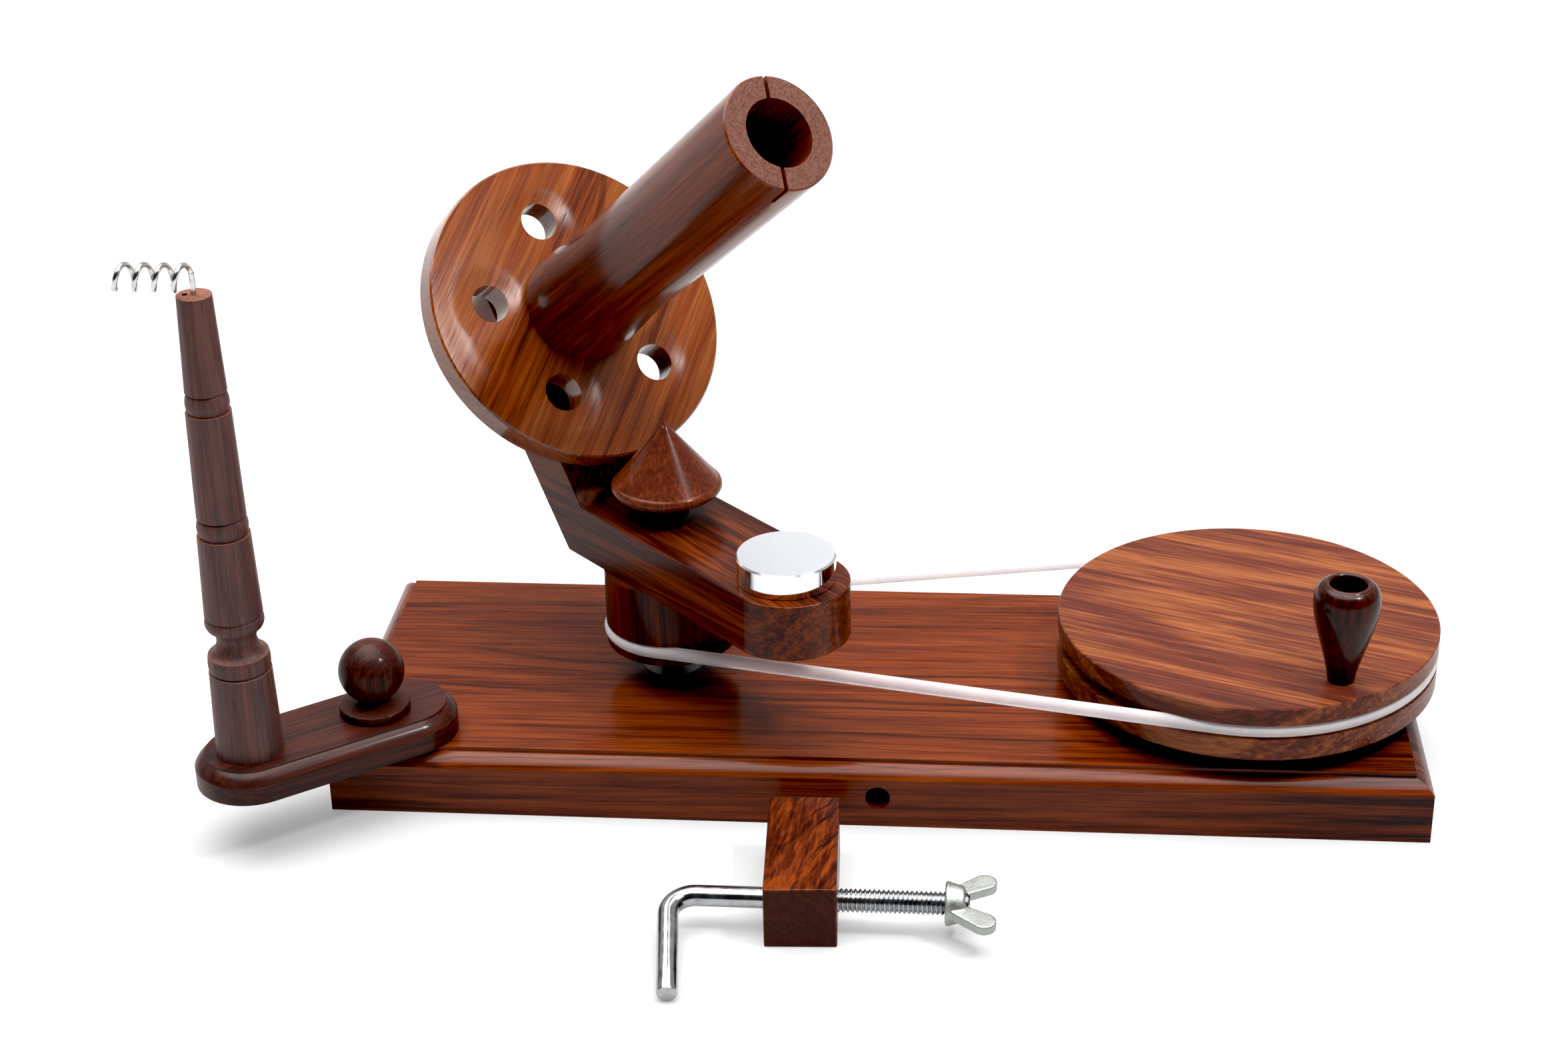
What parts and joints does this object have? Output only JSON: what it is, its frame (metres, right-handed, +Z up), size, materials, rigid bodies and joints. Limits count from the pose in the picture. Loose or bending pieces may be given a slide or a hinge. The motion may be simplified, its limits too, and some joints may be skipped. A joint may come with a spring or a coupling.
{
  "type": "yarn ball winder",
  "caption": "Hand-cranked wooden yarn ball winder: belt-driven flyer with a tilted slotted spindle rolling on a fixed cone, a swinging post with a wire eye, and a loose table clamp.",
  "frame": {"origin": "centre of the base board's underside", "axes": "+X along the base to the drive wheel's end, +Y to the back, +Z up; the user and the loose clamp are on the -Y side"},
  "size_m": [0.4549, 0.2723, 0.2724],
  "materials": {
    "rosewood_gloss": "glossy lacquer",
    "rosewood_light": "satin",
    "rosewood_dark": "satin",
    "steel": "satin",
    "bearing_steel": "ground",
    "polished_steel": "mirror polish",
    "zinc": "bright zinc",
    "cast_zinc": "rough cast",
    "brass": "satin",
    "belt": "clear polyurethane"
  },
  "bodies": {
    "base": {"base_board": "rosewood_gloss", "flyer_shaft": "steel", "wheel_axle": "steel", "shaft_washers": "zinc", "shaft_nuts": "zinc", "shaft_rings": "steel", "friction_cone": "rosewood_light", "drive_belt": "belt", "wheel_bearing_inners": "bearing_steel", "flyer_bearing_inners": "bearing_steel", "guide_stud": "steel"},
    "drive_wheel": {"drive_wheel": "rosewood_gloss", "wheel_bearing_outers": "bearing_steel", "wheel_bearing_balls": "bearing_steel", "crank_screw": "zinc"},
    "crank_knob": {"crank_knob": "rosewood_dark"},
    "flyer": {"flyer_pulley": "rosewood_gloss", "flyer_arm": "rosewood_light", "flyer_bearing_outers": "bearing_steel", "flyer_bearing_balls": "bearing_steel", "counterweight": "polished_steel", "counterweight_screw": "zinc", "spindle_bolt": "zinc", "spindle_washers": "zinc", "spindle_nut": "zinc", "spindle_sleeves": "steel", "spindle_bearing_inners": "bearing_steel"},
    "spindle": {"spindle_flange": "rosewood_gloss", "spindle_tube": "rosewood_gloss", "spindle_bearing_outers": "bearing_steel", "spindle_bearing_balls": "bearing_steel"},
    "guide": {"guide_plate": "rosewood_dark", "guide_post": "rosewood_dark", "post_screw": "zinc", "wire_eye": "steel"},
    "guide_knob": {"guide_knob": "rosewood_dark", "knob_insert": "brass"},
    "clamp_rod": {"clamp_rod": "zinc"},
    "clamp_block": {"clamp_block": "rosewood_gloss"},
    "wing_nut": {"wing_nut": "cast_zinc"}
  },
  "joints": [
    {"name": "wheel_spin", "type": "hinge", "parent": "base", "child": "drive_wheel", "pos_m": [0.137, 0, 0.044], "axis": [0, 0, 1], "continuous": true},
    {"name": "crank_knob_spin", "type": "hinge", "parent": "drive_wheel", "child": "crank_knob", "pos_m": [0.1666, -0.0478, 0.06], "axis": [0, 0, 1], "continuous": true},
    {"name": "flyer_spin", "type": "hinge", "parent": "base", "child": "flyer", "pos_m": [-0.08, 0, 0.05], "axis": [0, 0, 1], "continuous": true},
    {"name": "spindle_spin", "type": "hinge", "parent": "flyer", "child": "spindle", "pos_m": [-0.11606, 0.03682, 0.15793], "axis": [0.5437, -0.5552, 0.6293], "continuous": true},
    {"name": "guide_swing", "type": "hinge", "parent": "base", "child": "guide", "pos_m": [-0.183, -0.0591, 0.03], "axis": [0, 0, 1], "range_deg": [-90, 90]},
    {"name": "guide_knob_turn", "type": "hinge", "parent": "base", "child": "guide_knob", "pos_m": [-0.183, -0.0591, 0.05], "axis": [0, 0, 1], "range_deg": [0, 360]},
    {"name": "clamp_pull_away", "type": "slide", "parent": "base", "child": "clamp_rod", "axis": [0, -1, 0], "range_m": [0, 0.15]},
    {"name": "clamp_block_slide", "type": "slide", "parent": "clamp_rod", "child": "clamp_block", "axis": [1, 0, 0], "range_m": [-0.018, 0.017]},
    {"name": "wing_nut_travel", "type": "slide", "parent": "clamp_rod", "child": "wing_nut", "axis": [1, 0, 0], "range_m": [-0.0185, 0.003]}
  ],
  "couplings": [
    {"joint": "flyer_spin", "follows": "wheel_spin", "ratio": 2.9188},
    {"joint": "spindle_spin", "follows": "wheel_spin", "ratio": 0.68007}
  ]
}
